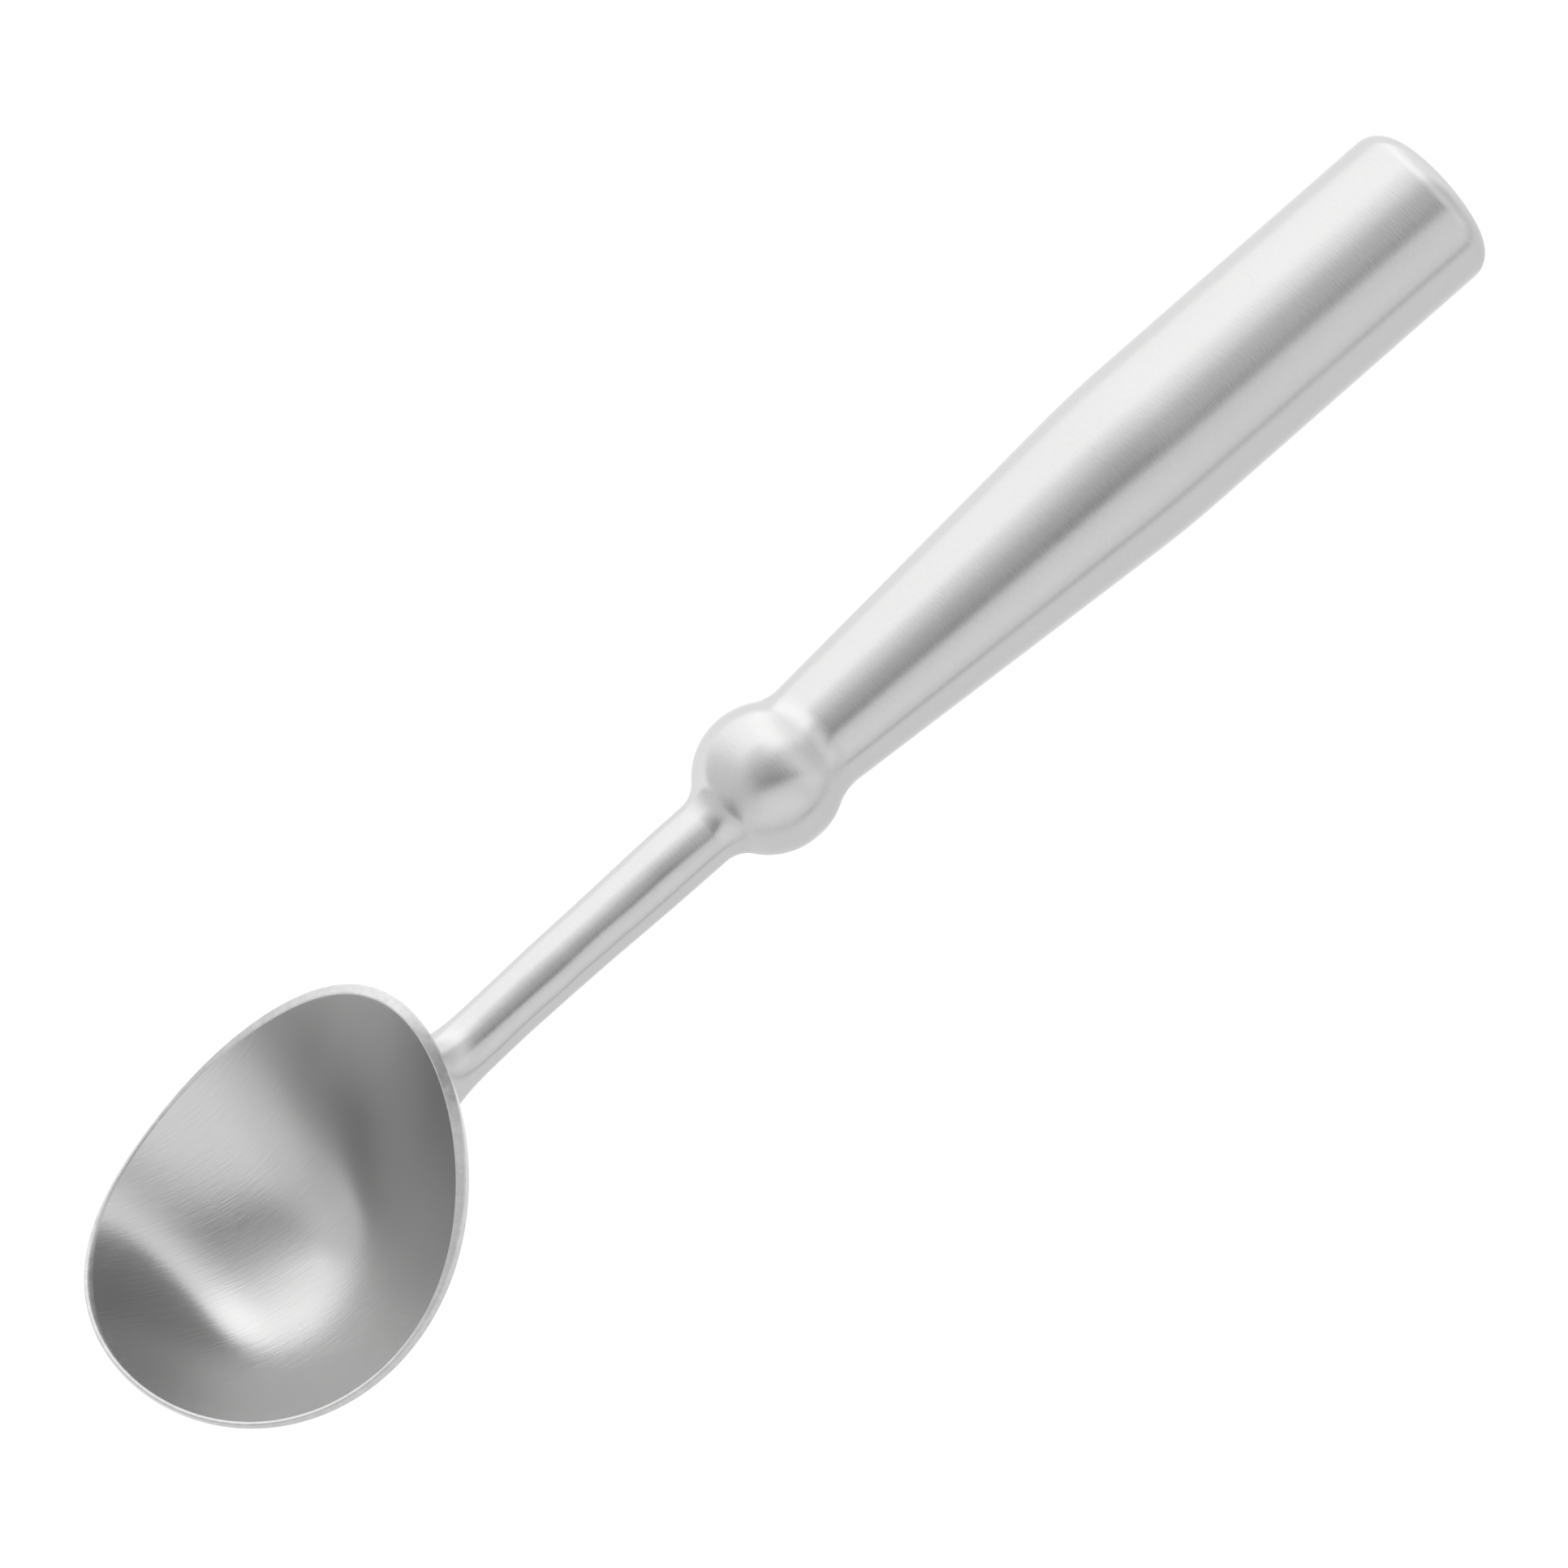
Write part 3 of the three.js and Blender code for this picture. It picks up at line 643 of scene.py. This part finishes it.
TENT, KEY, SIDE, GAP, CORE = 0.95, 0.66, 0.22, 0.44, 0.26
up_d, side_d, end_d = facing((0.0, 0.0, 1.0)), facing((0.0, 1.0, 0.0)), facing((1.0, 0.0, 0.0))
key = remap(wt, side_d, -0.22, 0.14, 0.0, KEY, "SMOOTHSTEP")
key = math_node(wt, "MULTIPLY", key, remap(wt, up_d, 0.84, 1.03, 1.0, 0.0, "SMOOTHSTEP"))
key = math_node(wt, "MULTIPLY", key, remap(wt, end_d, -0.72, 0.14, 0.0, 1.0, "SMOOTHSTEP"))
key = math_node(wt, "MULTIPLY", key, remap(wt, end_d, 0.46, 0.80, 1.0, 0.75, "SMOOTHSTEP"))
side = remap(wt, facing(toward(-120, 0)), 0.64, 0.80, 0.0, SIDE, "SMOOTHSTEP")
gap_along = (0.98651981, -0.09114249, 0.13591069)
gap_across = (0.02272546, 0.89879405, 0.4377817)
gap_front = (-0.16205623, -0.42879169, 0.88874938)
along_d = math_node(wt, "ABSOLUTE", math_node(wt, "SUBTRACT", facing(gap_along), 0.05), 0.0)
m1 = remap(wt, along_d, 0.20, 0.75, 1.0, 0.0, "SMOOTHSTEP")
across_d = math_node(wt, "ADD", facing(gap_across), math_node(wt, "SUBTRACT", math_node(wt, "MULTIPLY", facing(gap_along), 0.35), 0.1365))
m2 = remap(wt, across_d, -0.48, -0.34, 0.0, 1.0, "SMOOTHSTEP")
m3 = math_node(wt, "ADD", remap(wt, across_d, -0.10, 0.60, GAP, 0.0, "SMOOTHSTEP"),
               remap(wt, across_d, -0.26, -0.08, CORE, 0.0, "SMOOTHSTEP"))
m4 = remap(wt, facing(gap_front), 0.0, 0.3, 0.0, 1.0, "SMOOTHSTEP")
gap = math_node(wt, "MULTIPLY", math_node(wt, "MULTIPLY", m1, m2), math_node(wt, "MULTIPLY", m3, m4))
gap = math_node(wt, "SUBTRACT", 1.0, gap)
far_end = remap(wt, end_d, 0.25, 0.65, TENT, TENT + 0.28, "SMOOTHSTEP")
far_end = math_node(wt, "ADD", far_end, remap(wt, end_d, 0.60, 0.90, 0.0, -0.36, "SMOOTHSTEP"))
upper = math_node(wt, "MULTIPLY", math_node(wt, "ADD", math_node(wt, "ADD", key, side), far_end), gap)
door = remap(wt, facing((-0.889, -0.252, 0.383)), 0.87, 0.95, 1.0, 0.90, "SMOOTHSTEP")
upper = math_node(wt, "MULTIPLY", upper, door)
# the white sheet below, with the soft line of its near edge
sheet = remap(wt, side_d, -0.5, 0.6, 1.06, 1.40, "SMOOTHSTEP")
line_d = math_node(wt, "ABSOLUTE", math_node(wt, "ADD", up_d, 0.36), 0.0)
near_edge = remap(wt, line_d, 0.015, 0.10, 0.36, 0.0, "SMOOTHSTEP")
near_edge = math_node(wt, "MULTIPLY", near_edge, remap(wt, side_d, -0.5, -0.2, 1.0, 0.0, "SMOOTHSTEP"))
lower = math_node(wt, "SUBTRACT", sheet, near_edge)
below = remap(wt, up_d, -0.14, 0.0, 1.0, 0.0, "SMOOTHSTEP")
blend = node(wt, "ShaderNodeMix", data_type="FLOAT")
wt.links.new(below, blend.inputs["Factor"])
wt.links.new(upper, blend.inputs["A"])
wt.links.new(lower, blend.inputs["B"])
level = blend.outputs["Result"]
rays = node(wt, "ShaderNodeLightPath").outputs["Is Camera Ray"]
seen = node(wt, "ShaderNodeMix", data_type="FLOAT")
wt.links.new(rays, seen.inputs["Factor"])
wt.links.new(level, seen.inputs["A"])
seen.inputs["B"].default_value = 1.0
wt.links.new(seen.outputs["Result"], w_bg.inputs["Strength"])
w_bg.inputs["Color"].default_value = (1.0, 1.0, 1.0, 1.0)

scene.view_settings.view_transform = "Standard"
scene.view_settings.look = "None"
scene.view_settings.exposure = 0.0
scene.view_settings.gamma = 1.0

# --------------------------------------------------------------------- camera
ROLL, TILT, SLANT = math.radians(26.0), math.radians(12.0), math.radians(41.2585)
REACH = 2500.0                             # camera to the middle of the ball, mm
va = np.array([math.cos(TILT), -math.sin(ROLL) * math.sin(TILT), math.cos(ROLL) * math.sin(TILT)])
ve = np.array([0.0, math.cos(ROLL), math.sin(ROLL)])
vc = np.array([-math.sin(TILT), -math.sin(ROLL) * math.cos(TILT), math.cos(ROLL) * math.cos(TILT)])
spot = lay([1.1826 * va - 1.8515 * ve + REACH * vc])[0]
right = LAY @ (math.cos(SLANT) * va - math.sin(SLANT) * ve)
up = LAY @ (math.sin(SLANT) * va + math.cos(SLANT) * ve)
back = LAY @ vc
cam_data = bpy.data.cameras.new("camera")
cam_data.sensor_fit = "HORIZONTAL"
cam_data.sensor_width = 36.0
cam_data.lens = 18.0 * (REACH * 10.0) / 966.0
cam_data.clip_start, cam_data.clip_end = 0.05, 30.0
cam_data.dof.use_dof = False
cam = bpy.data.objects.new("camera", cam_data)
scene.collection.objects.link(cam)
m = Matrix.Identity(4)
for k in range(3):
    m[k][0], m[k][1], m[k][2], m[k][3] = right[k], up[k], back[k], spot[k]
cam.matrix_world = m
scene.camera = cam

bpy.context.view_layer.update()
